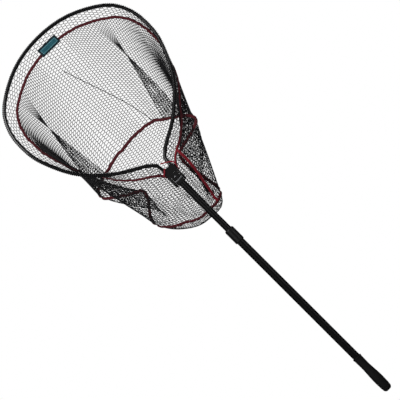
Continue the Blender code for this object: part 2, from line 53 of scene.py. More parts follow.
cameraSettings = {
    "lensMm": 200.0,
    "distance": 7.169,            # from the hoop's plane
    "aim": (0.0016, 0.0, 0.8630),
    "leanDegrees": 45.05,         # the handle leans this far from upright in the picture
}

studioSettings = {
    "backdrop": "#ffffff",
    "ambient": 0.05,
    "floorSize": 9.0,
    "middle": (0.0, 0.0, 0.9),    # what the lights are aimed at
    # name, place, size and watts
    "softboxes": [("keySoftbox", (-1.9, -2.6, 2.3), (1.3, 1.8), 46.0),
                  ("fillSoftbox", (2.4, -2.0, 1.2), (1.0, 2.0), 12.0),
                  ("rearSoftbox", (1.2, 3.0, 1.7), (1.4, 1.8), 26.0),
                  ("topSoftbox", (-0.4, 0.2, 3.4), (2.2, 2.2), 14.0)],
}


def hexToLinear(text):
    values = [int(text[i:i + 2], 16) / 255 for i in (1, 3, 5)]
    return tuple(v / 12.92 if v <= 0.04045 else ((v + 0.055) / 1.055) ** 2.4 for v in values) + (1.0,)


# adds one node, sets its properties and sockets, and links the sockets that are given another socket
def addNode(tree, kind, sockets=None, **settings):
    node = tree.nodes.new(kind)
    for key, value in settings.items():
        setattr(node, key, value)
    for key, value in (sockets or {}).items():
        if isinstance(value, bpy.types.NodeSocket):
            tree.links.new(value, node.inputs[key])
        else:
            node.inputs[key].default_value = value
    return node


def makeCamera():
    lean = math.radians(cameraSettings["leanDegrees"])
    right = Vector((math.cos(lean), 0, -math.sin(lean)))
    up = Vector((math.sin(lean), 0, math.cos(lean)))
    back = right.cross(up)
    data = bpy.data.cameras.new("camera")
    data.lens = cameraSettings["lensMm"]
    data.sensor_width = 36.0
    data.clip_end = 100.0
    camera = bpy.data.objects.new("camera", data)
    scene.collection.objects.link(camera)
    place = Matrix((right, up, back)).transposed().to_4x4()
    place.translation = Vector(cameraSettings["aim"]) + back * cameraSettings["distance"]
    camera.matrix_world = place
    scene.camera = camera


def softbox(name, place, aim, size, watts):
    bpy.ops.object.light_add(type="AREA", location=place)
    light = bpy.context.object
    light.name = name
    light.data.shape = "RECTANGLE"
    light.data.size, light.data.size_y = size
    light.data.energy = watts
    light.rotation_mode = "QUATERNION"
    light.rotation_quaternion = (Vector(aim) - Vector(place)).to_track_quat("-Z", "Y")


def makeStudio():
    world = bpy.data.worlds.new("studio")
    scene.world = world
    world.use_nodes = True
    tree = world.node_tree
    tree.nodes.clear()
    seen = addNode(tree, "ShaderNodeLightPath")
    white = addNode(tree, "ShaderNodeBackground", {"Color": hexToLinear(studioSettings["backdrop"]),
                                                   "Strength": 1.0})
    soft = addNode(tree, "ShaderNodeBackground", {"Color": hexToLinear("#f4f6ff"),
                                                  "Strength": studioSettings["ambient"]})
    mix = addNode(tree, "ShaderNodeMixShader", {0: seen.outputs["Is Camera Ray"], 1: soft.outputs[0],
                                                2: white.outputs[0]})
    addNode(tree, "ShaderNodeOutputWorld", {"Surface": mix.outputs[0]})
    scene.view_settings.view_transform = "Standard"
    scene.view_settings.look = "None"
    for name, place, size, watts in studioSettings["softboxes"]:
        softbox(name, place, studioSettings["middle"], size, watts)
    # a plain studio floor painted a matt grey; it glows white, but only for the camera
    bpy.ops.mesh.primitive_plane_add(size=studioSettings["floorSize"], location=(0, 0, -0.0006))
    floor = bpy.context.object
    floor.name = "studioFloor"
    paint = bpy.data.materials.new("matt studio paint")
    paint.use_nodes = True
    tree = paint.node_tree
    shader = tree.nodes["Principled BSDF"]
    shader.inputs["Base Color"].default_value = hexToLinear("#787878")
    shader.inputs["Roughness"].default_value = 0.9
    glow = addNode(tree, "ShaderNodeEmission", {"Color": hexToLinear("#ffffff"), "Strength": 1.0})
    seen = addNode(tree, "ShaderNodeLightPath")
    both = addNode(tree, "ShaderNodeMixShader", {0: seen.outputs["Is Camera Ray"], 1: shader.outputs[0],
                                                 2: glow.outputs[0]})
    tree.links.new(both.outputs[0], tree.nodes["Material Output"].inputs["Surface"])
    floor.data.materials.append(paint)
    print("studio and camera made")


# materials

def newMaterial(name):
    material = bpy.data.materials.new(name)
    material.use_nodes = True
    tree = material.node_tree
    return material, tree, tree.nodes["Principled BSDF"]


def setShader(shader, **values):
    for key, value in values.items():
        shader.inputs[key.replace("_", " ")].default_value = value


# raises the surface by a pattern; the distance is its full height in metres
def roughen(tree, shader, height, strength, distance):
    bump = addNode(tree, "ShaderNodeBump", {"Height": height, "Strength": strength, "Distance": distance})
    tree.links.new(bump.outputs[0], shader.inputs["Normal"])


# extruded aluminium tube, bead blasted and anodised black: a satin skin with faint lengthwise drawing lines
def anodisedTube():
    material, tree, shader = newMaterial("black anodised aluminium")
    place = addNode(tree, "ShaderNodeTexCoord").outputs["Object"]
    drawn = addNode(tree, "ShaderNodeMapping", {"Vector": place, "Scale": (1.0, 1.0, 0.02)})
    lines = addNode(tree, "ShaderNodeTexNoise", {"Vector": drawn.outputs[0], "Scale": 900.0, "Detail": 3.0})
    blast = addNode(tree, "ShaderNodeTexNoise", {"Vector": place, "Scale": 1400.0, "Detail": 2.0})
    wear = addNode(tree, "ShaderNodeTexNoise", {"Vector": place, "Scale": 16.0, "Detail": 6.0,
                                                "Roughness": 0.65})
    tone = addNode(tree, "ShaderNodeValToRGB", {"Fac": wear.outputs["Fac"]})
    tone.color_ramp.elements[0].position = 0.35
    tone.color_ramp.elements[0].color = hexToLinear("#0b0b0c")
    tone.color_ramp.elements[1].position = 0.75
    tone.color_ramp.elements[1].color = hexToLinear("#141416")
    gloss = addNode(tree, "ShaderNodeMapRange", {"Value": lines.outputs["Fac"], "To Min": 0.30,
                                                 "To Max": 0.46})
    height = addNode(tree, "ShaderNodeMath", {0: lines.outputs["Fac"], 1: blast.outputs["Fac"]},
                     operation="ADD")
    roughen(tree, shader, height.outputs[0], 0.10, 0.0001)
    tree.links.new(tone.outputs[0], shader.inputs["Base Color"])
    tree.links.new(gloss.outputs[0], shader.inputs["Roughness"])
    setShader(shader, Metallic=0.35)
    return material


# steel-hard polyester powder coat on the hoop: a wet gloss over a slight orange peel
def glossPowderCoat():
    material, tree, shader = newMaterial("gloss black powder coat")
    place = addNode(tree, "ShaderNodeTexCoord").outputs["Object"]
    peel = addNode(tree, "ShaderNodeTexNoise", {"Vector": place, "Scale": 420.0, "Detail": 2.0})
    rub = addNode(tree, "ShaderNodeTexNoise", {"Vector": place, "Scale": 30.0, "Detail": 5.0})
    gloss = addNode(tree, "ShaderNodeMapRange", {"Value": rub.outputs["Fac"], "To Min": 0.16,
                                                 "To Max": 0.30})
    roughen(tree, shader, peel.outputs["Fac"], 0.15, 0.0002)
    tree.links.new(gloss.outputs[0], shader.inputs["Roughness"])
    setShader(shader, Base_Color=hexToLinear("#0a0a0b"), Coat_Weight=0.4, Coat_Roughness=0.12)
    return material


# moulded thermoplastic rubber: matt, with a spark-eroded grain of about 0.5 mm
def gripRubber():
    material, tree, shader = newMaterial("moulded rubber grip")
    place = addNode(tree, "ShaderNodeTexCoord").outputs["Object"]
    grain = addNode(tree, "ShaderNodeTexVoronoi", {"Vector": place, "Scale": 1500.0})
    dust = addNode(tree, "ShaderNodeTexNoise", {"Vector": place, "Scale": 45.0, "Detail": 6.0})
    tone = addNode(tree, "ShaderNodeValToRGB", {"Fac": dust.outputs["Fac"]})
    tone.color_ramp.elements[0].color = hexToLinear("#0c0c0d")
    tone.color_ramp.elements[1].color = hexToLinear("#171718")
    roughen(tree, shader, grain.outputs["Distance"], 0.35, 0.0003)
    tree.links.new(tone.outputs[0], shader.inputs["Base Color"])
    setShader(shader, Roughness=0.68, Specular_IOR_Level=0.35)
    return material


# glass-filled nylon, injection moulded: a fine erosion texture and slightly shinier rubbed areas
def mouldedNylon():
    material, tree, shader = newMaterial("moulded nylon")
    place = addNode(tree, "ShaderNodeTexCoord").outputs["Object"]
    grain = addNode(tree, "ShaderNodeTexNoise", {"Vector": place, "Scale": 1100.0, "Detail": 3.0})
    rub = addNode(tree, "ShaderNodeTexNoise", {"Vector": place, "Scale": 60.0, "Detail": 4.0})
    gloss = addNode(tree, "ShaderNodeMapRange", {"Value": rub.outputs["Fac"], "To Min": 0.38,
                                                 "To Max": 0.56})
    roughen(tree, shader, grain.outputs["Fac"], 0.3, 0.0002)
    tree.links.new(gloss.outputs[0], shader.inputs["Roughness"])
    setShader(shader, Base_Color=hexToLinear("#0d0d0e"))
    return material


# stainless steel fittings, turned: fine concentric tool marks and a soft bright reflection
def turnedSteel():
    material, tree, shader = newMaterial("turned stainless steel")
    place = addNode(tree, "ShaderNodeTexCoord").outputs["Object"]
    marks = addNode(tree, "ShaderNodeTexNoise", {"Vector": place, "Scale": 2600.0, "Detail": 2.0})
    gloss = addNode(tree, "ShaderNodeMapRange", {"Value": marks.outputs["Fac"], "To Min": 0.18,
                                                 "To Max": 0.34})
    roughen(tree, shader, marks.outputs["Fac"], 0.08, 0.0001)
    tree.links.new(gloss.outputs[0], shader.inputs["Roughness"])
    setShader(shader, Base_Color=hexToLinear("#d2d3d6"), Metallic=1.0)
    return material


# knotless nylon netting dipped in black latex: a soft sheen, with the strands' plait showing through
def netCord():
    material, tree, shader = newMaterial("coated nylon netting")
    along = addNode(tree, "ShaderNodeTexCoord").outputs["UV"]
    # the plait repeats every 2 mm along a strand
    plait = addNode(tree, "ShaderNodeTexWave", {"Vector": along, "Scale": 80.0, "Distortion": 1.5,
                                                "Detail": 1.0}, bands_direction="DIAGONAL")
    tone = addNode(tree, "ShaderNodeValToRGB", {"Fac": plait.outputs["Fac"]})
    tone.color_ramp.elements[0].color = hexToLinear("#0e0e10")
    tone.color_ramp.elements[1].color = hexToLinear("#26262a")
    roughen(tree, shader, plait.outputs["Fac"], 0.4, 0.0003)
    tree.links.new(tone.outputs[0], shader.inputs["Base Color"])
    setShader(shader, Roughness=0.55, Sheen_Weight=0.15, Sheen_Roughness=0.4)
    return material


# polyester binding tape, plain woven: ribs across it every 0.8 mm and a selvedge line at each edge
def wovenTape(name, dark, light):
    material, tree, shader = newMaterial(name)
    along = addNode(tree, "ShaderNodeTexCoord").outputs["UV"]
    ribs = addNode(tree, "ShaderNodeTexWave", {"Vector": along, "Scale": 200.0, "Distortion": 0.6},
                   bands_direction="X")
    warp = addNode(tree, "ShaderNodeTexWave", {"Vector": along, "Scale": 320.0, "Distortion": 0.4},
                   bands_direction="Y")
    weave = addNode(tree, "ShaderNodeMath", {0: ribs.outputs["Fac"], 1: warp.outputs["Fac"]},
                    operation="MULTIPLY")
    wear = addNode(tree, "ShaderNodeTexNoise", {"Vector": along, "Scale": 55.0, "Detail": 5.0})
    amount = addNode(tree, "ShaderNodeMath", {0: weave.outputs[0], 1: wear.outputs["Fac"]}, operation="ADD")
    tone = addNode(tree, "ShaderNodeValToRGB", {"Fac": amount.outputs[0]})
    tone.color_ramp.elements[0].position = 0.25
    tone.color_ramp.elements[0].color = hexToLinear(dark)
    tone.color_ramp.elements[1].color = hexToLinear(light)
    roughen(tree, shader, weave.outputs[0], 0.5, 0.0003)
    tree.links.new(tone.outputs[0], shader.inputs["Base Color"])
    setShader(shader, Roughness=0.72, Sheen_Weight=0.3, Sheen_Roughness=0.45)
    return material


# damask-woven polyester satin: a teal field in a dark border, with a stitched frame and a plain dash pattern
def wovenLabel():
    material, tree, shader = newMaterial("damask woven label")
    along = addNode(tree, "ShaderNodeTexCoord").outputs["UV"]
    apart = addNode(tree, "ShaderNodeSeparateXYZ", {"Vector": along})

    # how far a point is inside the label's edge, in metres
    def inside(socket, size):
        centred = addNode(tree, "ShaderNodeMath", {0: socket, 1: size / 2}, operation="SUBTRACT")
        away = addNode(tree, "ShaderNodeMath", {0: centred.outputs[0]}, operation="ABSOLUTE")
        return addNode(tree, "ShaderNodeMath", {0: size / 2, 1: away.outputs[0]}, operation="SUBTRACT")

    fromSide = inside(apart.outputs["X"], labelSettings["width"])
    fromTop = inside(apart.outputs["Y"], labelSettings["height"])
    edge = addNode(tree, "ShaderNodeMath", {0: fromSide.outputs[0], 1: fromTop.outputs[0]},
                   operation="MINIMUM")
    field = addNode(tree, "ShaderNodeMath", {0: edge.outputs[0], 1: labelSettings["border"]},
                    operation="GREATER_THAN")
    line = addNode(tree, "ShaderNodeMath", {0: edge.outputs[0], 1: labelSettings["stitchLine"],
                                            2: labelSettings["stitchReach"]}, operation="COMPARE")
    thread = addNode(tree, "ShaderNodeTexWave", {"Vector": along, "Scale": 260.0, "Distortion": 1.0},
                     bands_direction="Y")
    border = addNode(tree, "ShaderNodeMixRGB", {"Fac": thread.outputs["Fac"],
                                                "Color1": hexToLinear("#0c232b"),
                                                "Color2": hexToLinear("#13323d")})
    teal = addNode(tree, "ShaderNodeMixRGB", {"Fac": thread.outputs["Fac"], "Color1": hexToLinear("#1e6373"),
                                              "Color2": hexToLinear("#3490a1")})
    dashes = addNode(tree, "ShaderNodeTexBrick", {"Vector": along, "Color1": hexToLinear("#000000"),
                                                  "Color2": hexToLinear("#000000"),
                                                  "Mortar": hexToLinear("#ffffff"), "Scale": 100.0,
                                                  "Mortar Size": 0.06, "Brick Width": 0.9,
                                                  "Row Height": 0.45})
    filled = addNode(tree, "ShaderNodeMixRGB", {"Fac": field.outputs[0], "Color1": border.outputs[0],
                                                "Color2": teal.outputs[0]})
    motif = addNode(tree, "ShaderNodeMath", {0: dashes.outputs["Color"], 1: field.outputs[0]},
                    operation="MULTIPLY")
    faint = addNode(tree, "ShaderNodeMath", {0: motif.outputs[0], 1: 0.30}, operation="MULTIPLY")
    marked = addNode(tree, "ShaderNodeMixRGB", {"Fac": faint.outputs[0], "Color1": filled.outputs[0],
                                                "Color2": hexToLinear("#0f3640")})
    framed = addNode(tree, "ShaderNodeMixRGB", {"Fac": line.outputs[0], "Color1": marked.outputs[0],
                                                "Color2": hexToLinear("#8cc9d1")})
    roughen(tree, shader, thread.outputs["Fac"], 0.3, 0.0002)
    tree.links.new(framed.outputs[0], shader.inputs["Base Color"])
    setShader(shader, Roughness=0.55, Sheen_Weight=0.2, Sheen_Roughness=0.4)
    return material


# the bag's cloth

hoopLow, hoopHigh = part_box("hoop")
hoopRadius = (hoopHigh[1] - hoopLow[1]) / 2
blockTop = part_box("yoke")[1][2]

bagSettings = {
    # the hoop's centre line
    "halfWidth": hoopHigh[0] - hoopRadius, "length": hoopHigh[2] - hoopRadius - blockTop, "foot": blockTop,
    "armX": 0.0134, "armFlare": 0.0012, "armRise": 0.020,
    "shape": [(0.136, 0.081), (0.474, 0.179), (0.777, 0.325), (0.956, 0.501), (1.0, 0.624),
              (0.967, 0.750), (0.814, 0.864), (0.425, 0.968), (0.0, 1.0)],
    "rimDrop": 0.042,
    "wallFront": 0.180, "wallRise": 0.200,     # the side wall is short at the block and deep at the bow
    "wallSlack": 0.60,                         # and wider than the drum half way down
    "panelWidth": 0.84, "panelHeight": 0.74, "panelMiddle": 1.24,
    # how the tape round the panel lies once the bag has been shaken out, x and z: from its lowest point up
    # the right side to the back, and on down the left side
    "tapeRight": [(0.005, 0.815), (0.041, 0.815), (0.070, 0.842), (0.053, 0.926), (0.036, 0.967),
                  (0.040, 1.008), (0.086, 1.024), (0.163, 1.026), (0.177, 1.052), (0.092, 1.112),
                  (0.083, 1.138), (-0.020, 1.145)],
    "tapeLeft": [(-0.020, 1.145), (-0.054, 1.133), (-0.088, 1.144), (-0.138, 1.133), (-0.205, 1.136),
                 (-0.229, 1.098), (-0.150, 1.040), (-0.092, 1.004), (-0.137, 0.964), (-0.163, 0.917),
                 (-0.125, 0.867), (-0.076, 0.843), (-0.032, 0.815), (0.005, 0.815)],
    # how far inside the hoop's line the upper tape lies, by column: the bag has been pulled to the right
    "rimInside": [(14, -0.008), (24, -0.010), (34, 0.000), (41, 0.010), (49, 0.028), (60, 0.040), (76, 0.040),
                  (90, 0.032), (97, 0.018), (103, 0.006)],
    "guide": 0.02, "deepest": 0.134,
    "columns": 120, "rimRows": 3, "wallRows": 20, "baseRows": 12,
    "tiltDegrees": 9.5,       # the hoop hangs this far out of the upright
    "leanDegrees": -2.0,      # and the handle this far to one side
    "seconds": 4.0, "stepsPerSecond": 500, "damping": 0.35, "slantGive": 1.25, "stiffness": 0.02,
    "tapeWeight": 2.2,        # the row that carries the lower tape, against plain netting
    # the cloth stays this far behind the hoop's plane, and further where it passes the block
    "behindHoop": 0.0075, "behindBlock": 0.021, "blockHalfWidth": 0.040, "blockLevel": 1.03,
}

netSettings = {
    "cellWidth": 0.0126, "cellHeight": 0.0086,
    "strand": 0.0019,         # thickness, a little generous; finer strands hardly show at this size
    "wander": 0.0009,         # each strand swings this far towards the cross bars on either side
    "seamStrand": 0.0024, "seamTop": 0.22, "seamColumn": 59.5, "seamSlant": 8.0, "seamBend": 0.5,
    "loopClear": 0.0006, "loopLean": 0.0009,
}


def smoothPath(points, steps):
    knots = [np.array(point, float) for point in points]
    padded = [2 * knots[0] - knots[1]] + knots + [2 * knots[-1] - knots[-2]]
    path = []
    for i in range(1, len(padded) - 2):
        a, b, c, d = padded[i - 1:i + 3]
        for step in range(steps):
            t = step / steps
            path.append(0.5 * (2 * b + (c - a) * t + (2 * a - 5 * b + 4 * c - d) * t ** 2
                               + (3 * b - a - 3 * c + d) * t ** 3))
    path.append(knots[-1])
    return np.array(path)


def evenPath(path, count):
    lengths = np.concatenate([[0.0], np.cumsum(np.linalg.norm(np.diff(path, axis=0), axis=1))])
    wanted = np.linspace(0.0, lengths[-1], count)
    return np.array([np.interp(wanted, lengths, path[:, k]) for k in range(path.shape[1])]).T


# the hoop's right half from the block to the bow: x and z
def hoopHalf(count):
    entry = [(bagSettings["armX"], bagSettings["foot"]),
             (bagSettings["armX"] + bagSettings["armFlare"], bagSettings["foot"] + bagSettings["armRise"])]
    rest = [(x * bagSettings["halfWidth"], bagSettings["foot"] + z * bagSettings["length"])
            for x, z in bagSettings["shape"]]
    mirrored = [(-x, z) for x, z in reversed(rest[-3:-1])]
    path = smoothPath(entry + rest + mirrored, 12)
    return evenPath(path[:12 * (len(entry) + len(rest) - 1) + 1], count)


def ease(value):
    clipped = np.clip(value, 0.0, 1.0)
    return clipped * clipped * (3 - 2 * clipped)


# the mouth's edge as columns of x, y and z: up the right side, over the bow and down the left side
def mouthEdge():
    half = hoopHalf(bagSettings["columns"] // 2)
    left = half[-2::-1] * (-1, 1)
    loop = np.vstack([half, left, [(0.0, bagSettings["foot"] - 0.002)]])
    clear = np.maximum(np.abs(loop[:, 0]) - 0.0225, loop[:, 1] - bagSettings["foot"] - 0.03)
    depth = 0.018 + (0.0069 - 0.018) * ease(clear / 0.02)
    return np.column_stack([loop[:, 0], depth, loop[:, 1]])


def bagStart():
    edge = mouthEdge()
    up = (edge[:, 2] - bagSettings["foot"]) / bagSettings["length"]
    depth = bagSettings["rimDrop"] + bagSettings["wallFront"] \
        + bagSettings["wallRise"] * np.maximum(up, 0) ** 0.7
    middle = bagSettings["panelMiddle"]
    outline = np.column_stack([edge[:, 0] * bagSettings["panelWidth"], np.zeros(len(edge)),
                               middle + (edge[:, 2] - 1.30) * bagSettings["panelHeight"]])
    flat = np.hypot(outline[:, 0] - edge[:, 0], outline[:, 2] - edge[:, 2])
    outline[:, 1] = np.sqrt(np.maximum(depth ** 2 - flat ** 2, 0.02 ** 2))
    rows = []
    for i in range(bagSettings["rimRows"]):
        share = (i / bagSettings["rimRows"]) * bagSettings["rimDrop"] / depth
        rows.append(edge + (outline - edge) * share[:, None])
    for i in range(bagSettings["wallRows"]):
        down = bagSettings["rimDrop"] + (depth - bagSettings["rimDrop"]) * i / bagSettings["wallRows"]
        share = down / depth
        rows.append(edge + (outline - edge) * share[:, None])
    centre = np.array([0.0, outline[:, 1].mean(), middle])
    for i in range(bagSettings["baseRows"]):
        rows.append(outline + (centre - outline) * (i / bagSettings["baseRows"]))
    return np.array(rows), centre, depth


# pulls the two ends of each strand together where it is longer than it was knitted; slack ones are left
def pullTogether(a, b, wa, wb, rest):
    gap = b - a
    length = np.maximum(np.sqrt((gap ** 2).sum(-1)), 1e-9)
    over = np.maximum(length - rest, 0.0)
    move = gap * (over / length / (wa + wb))[..., None]
    a += move * wa[..., None]
    b -= move * wb[..., None]


# lets the bag fall from a drum stretched straight back, while its two tapes are drawn to where they lie
def hangBag():
    rows, centre, depth = bagStart()
    count, columns = rows.shape[:2]
    place = rows.copy()
    down = np.linalg.norm(rows[1:] - rows[:-1], axis=2)
    acrossRest = np.linalg.norm(np.roll(rows, -1, axis=1) - rows, axis=2)
    share = np.clip((np.arange(count) - bagSettings["rimRows"]) / bagSettings["wallRows"], 0, 1)
    acrossRest *= (1 + bagSettings["wallSlack"] * np.sin(math.pi * share))[:, None]
    slantA = np.linalg.norm(np.roll(rows, -1, axis=1)[1:] - rows[:-1], axis=2) * bagSettings["slantGive"]
    slantB = np.linalg.norm(rows[1:] - np.roll(rows, -1, axis=1)[:-1], axis=2) * bagSettings["slantGive"]
    weight = np.vstack([down, down[-1:]]) * acrossRest
    tapeRow, rimRow = bagSettings["rimRows"] + bagSettings["wallRows"], bagSettings["rimRows"]
    weight[tapeRow] *= bagSettings["tapeWeight"]
    free = 1.0 / np.maximum(weight, weight.max() * 0.08)
    free /= free.max()
    free[0] = 0.0
    tilt, lean = math.radians(bagSettings["tiltDegrees"]), math.radians(bagSettings["leanDegrees"])
    gravity = 9.81 * np.array([-math.sin(lean), math.sin(tilt), -math.cos(tilt)])
    speed = np.zeros_like(place)
    half = columns // 2
    route = np.vstack([evenPath(smoothPath(bagSettings["tapeRight"], 6), half + 1)[:-1],
                       evenPath(smoothPath(bagSettings["tapeLeft"], 6), half + 1)[:-1]])
    around = np.roll(rows[0], -1, axis=0) - np.roll(rows[0], 1, axis=0)
    around /= np.linalg.norm(around, axis=1, keepdims=True)
    inside = np.interp(np.arange(columns), *np.array(bagSettings["rimInside"]).T)
    rimPlace = rows[0] + np.column_stack([-around[:, 2], np.zeros(columns), around[:, 0]]) * inside[:, None]
    pulled = slice(bagSettings["rimInside"][0][0], bagSettings["rimInside"][-1][0] + 1)
    step = 1 / bagSettings["stepsPerSecond"]
    keep = bagSettings["damping"] ** step
    stiff = bagSettings["stiffness"]
    tiny = 1e-12
    for number in range(int(bagSettings["seconds"] / step)):
        speed = (speed + gravity * step) * keep
        before = place.copy()
        place = place + speed * step * (free > 0)[..., None]
        for again in range(2):
            for first in (0, 1):
                last = (count - first) // 2 * 2 + first
                a, b = place[first:last:2], place[first + 1:last:2]
                pullTogether(a, b, free[first:last:2] + tiny, free[first + 1:last:2] + tiny,
                             down[first:last - 1:2])
            pullTogether(place[:, 0::2], place[:, 1::2], free[:, 0::2] + tiny, free[:, 1::2] + tiny,
                         acrossRest[:, 0::2])
            turned = np.roll(place[:, 0::2], -1, axis=1)
            pullTogether(place[:, 1::2], turned, free[:, 1::2] + tiny,
                         np.roll(free[:, 0::2], -1, axis=1) + tiny, acrossRest[:, 1::2])
            place[:, 0::2] = np.roll(turned, 1, axis=1)
            for first in (0, 1):
                last = (count - first) // 2 * 2 + first
                for rest, turn in ((slantA, -1), (slantB, 1)):
                    # a strand's end to the next column's end a row lower, and the other way
                    upper, lower = place[first:last:2], np.roll(place[first + 1:last:2], turn, axis=1)
                    wUpper = free[first:last:2] + tiny
                    wLower = np.roll(free[first + 1:last:2], turn, axis=1) + tiny
                    slant = rest[first:last - 1:2]
                    slant = slant if turn == -1 else np.roll(slant, 1, axis=1)
                    pullTogether(upper, lower, wUpper, wLower, slant)
                    place[first + 1:last:2] = np.roll(lower, -turn, axis=1)
            # a little stiffness against sharp bends, which pulls nothing inwards
            bend = np.zeros_like(place)
            bend[1:-1] = 0.5 * (place[:-2] + place[2:]) - place[1:-1]
            turn = bend.copy()
            turn[1:] -= 0.5 * bend[:-1]
            turn[:-1] -= 0.5 * bend[1:]
            ring = 0.5 * (np.roll(place, 1, axis=1) + np.roll(place, -1, axis=1)) - place
            turn += ring - 0.5 * (np.roll(ring, 1, axis=1) + np.roll(ring, -1, axis=1))
            place[1:] += stiff * turn[1:]
            for axis, wanted in ((0, route[:, 0]), (2, route[:, 1])):
                place[tapeRow, :, axis] += bagSettings["guide"] * (wanted - place[tapeRow, :, axis])
                place[rimRow, pulled, axis] += bagSettings["guide"] * 2 * (rimPlace[pulled, axis]
                                                                          - place[rimRow, pulled, axis])
        hub = place[-1].mean(0)
        arm = place[-1] - hub
        far = np.linalg.norm(arm, axis=1)
        limit = np.linalg.norm(rows[-1] - centre, axis=1)
        place[-1] = hub + arm * np.minimum(1.0, limit / np.maximum(far, 1e-9))[:, None]
        # stay behind the hoop, the block and the handle
        beside = ease((bagSettings["blockHalfWidth"] - np.abs(place[..., 0])) / 0.012)
        below = ease((bagSettings["blockLevel"] - place[..., 2]) / 0.01)
        behind = bagSettings["behindHoop"] \
            + (bagSettings["behindBlock"] - bagSettings["behindHoop"]) * beside * below
        low = place[..., 1] < behind
        low[0] = False
        place[..., 1] = np.clip(np.where(low, behind, place[..., 1]), None, bagSettings["deepest"])
        place[0] = rows[0]
        speed = (place - before) / step
        speed[low, 1] = 0.0
    print("bag hung: lowest", place.reshape(-1, 3).min(0).round(3), "highest",
          place.reshape(-1, 3).max(0).round(3), "speed", float(np.abs(speed).mean().round(4)))
    hub = place[-1].mean(0)
    return np.concatenate([place, np.repeat(hub[None, None], columns, axis=1)]), depth


# a smooth point of the hung cloth at column u and row v, both fractional
def clothPoint(rows, u, v):
    count, columns = rows.shape[:2]
    u, v = np.broadcast_arrays(np.asarray(u, float), np.asarray(v, float))
    v = np.clip(v, 0, count - 1 - 1e-6)
    ui, vi = np.floor(u).astype(int), np.floor(v).astype(int)

    def weights(t):
        return [(-t + 2 * t ** 2 - t ** 3) / 2, (2 - 5 * t ** 2 + 3 * t ** 3) / 2,
                (t + 4 * t ** 2 - 3 * t ** 3) / 2, (-t ** 2 + t ** 3) / 2]
    total = np.zeros(u.shape + (3,))
    for i, wu in enumerate(weights(u - ui)):
        for j, wv in enumerate(weights(v - vi)):
            row = np.clip(vi + j - 1, 0, count - 1)
            total += rows[row, (ui + i - 1) % columns] * (wu * wv)[..., None]
    return total


# netting and tapes

# four-sided strands along each line of points; lines is a list of arrays, each of shape lines x points x 3
def strandMesh(name, lines, thickness, material, sides=4):
    allPoints, allFaces, allUvs, start = [], [], [], 0
    for group in lines:
        number, count = group.shape[:2]
        tangent = np.gradient(group, axis=1)
        tangent /= np.maximum(np.linalg.norm(tangent, axis=2, keepdims=True), 1e-9)
        side = np.cross(tangent, np.array([0.21, 0.93, 0.30]))
        side /= np.maximum(np.linalg.norm(side, axis=2, keepdims=True), 1e-6)
        up = np.cross(side, tangent)
        ring = []
        for k in range(sides):
            angle = 2 * math.pi * k / sides
            ring.append(group + (side * math.cos(angle) + up * math.sin(angle)) * thickness / 2)
        ring = np.stack(ring, axis=2)
        allPoints.append(ring.reshape(-1, 3))
        run = np.concatenate([np.zeros((number, 1)), np.cumsum(
            np.linalg.norm(np.diff(group, axis=1), axis=2), axis=1)], axis=1)
        n, k, s = np.meshgrid(np.arange(number), np.arange(count - 1), np.arange(sides), indexing="ij")
        after = (s + 1) % sides
        first = start + (n * count + k) * sides
        faces = np.stack([first + s, first + after, first + sides + after, first + sides + s], axis=-1)
        allFaces.append(faces.reshape(-1, 4))
        wide = thickness * 3.1 / sides
        low, high = run[n, k], run[n, k + 1]
        uv = np.stack([np.stack([low, s * wide], -1), np.stack([low, (s + 1) * wide], -1),
                       np.stack([high, (s + 1) * wide], -1), np.stack([high, s * wide], -1)], axis=-2)
        allUvs.append(uv.reshape(-1, 2))
        start += number * count * sides
    points, faces, uvs = np.vstack(allPoints), np.vstack(allFaces), np.vstack(allUvs)
    mesh = bpy.data.meshes.new(name)
    mesh.from_pydata(points.tolist(), [], faces.tolist())
    layer = mesh.uv_layers.new(name="along")
    layer.data.foreach_set("uv", uvs.astype(np.float32).ravel())
    mesh.materials.append(material)
    piece = bpy.data.objects.new(name, mesh)
    scene.collection.objects.link(piece)
    mesh.shade_smooth()
    print(name, len(faces) * 2, "triangles")
    return piece


# a flat ribbon with a real thickness: points on its middle line, and the directions across and out of it
def ribbonMesh(name, middle, across, out, width, thickness, material, closed=False):
    count = len(middle)
    corners = [(-0.5, -0.5), (-0.38, 0.5), (0.38, 0.5), (0.5, -0.5)]
    points = np.stack([middle + across * (a * width) + out * (b * thickness) for a, b in corners], axis=1)
    run = np.concatenate([[0.0], np.cumsum(np.linalg.norm(np.diff(middle, axis=0), axis=1))])
    faces, uvs = [], []
    spans = count if closed else count - 1
    for i in range(spans):
        j = (i + 1) % count
        low, high = run[i], run[i + 1] if i + 1 < count else run[i] + 0.005
        for s in range(4):
            t = (s + 1) % 4
            faces.append((i * 4 + s, i * 4 + t, j * 4 + t, j * 4 + s))
            a, b = (corners[s][0] * width, corners[t][0] * width)
            uvs += [(low, a), (low, b), (high, b), (high, a)]
    if not closed:
        faces += [(3, 2, 1, 0), tuple((count - 1) * 4 + s for s in range(4))]
        uvs += [(0.0, 0.0)] * 8
    mesh = bpy.data.meshes.new(name)
    mesh.from_pydata(points.reshape(-1, 3).tolist(), [], faces)
    layer = mesh.uv_layers.new(name="along")
    layer.data.foreach_set("uv", np.array(uvs, np.float32).ravel())
    mesh.materials.append(material)
    piece = bpy.data.objects.new(name, mesh)
    scene.collection.objects.link(piece)
    bpy.ops.object.select_all(action="DESELECT")
    bpy.context.view_layer.objects.active = piece
    piece.select_set(True)
    bpy.ops.object.mode_set(mode="EDIT")
    bpy.ops.mesh.select_all(action="SELECT")
    bpy.ops.mesh.normals_make_consistent(inside=False)
    bpy.ops.object.mode_set(mode="OBJECT")
    piece.data.shade_smooth()
    return piece


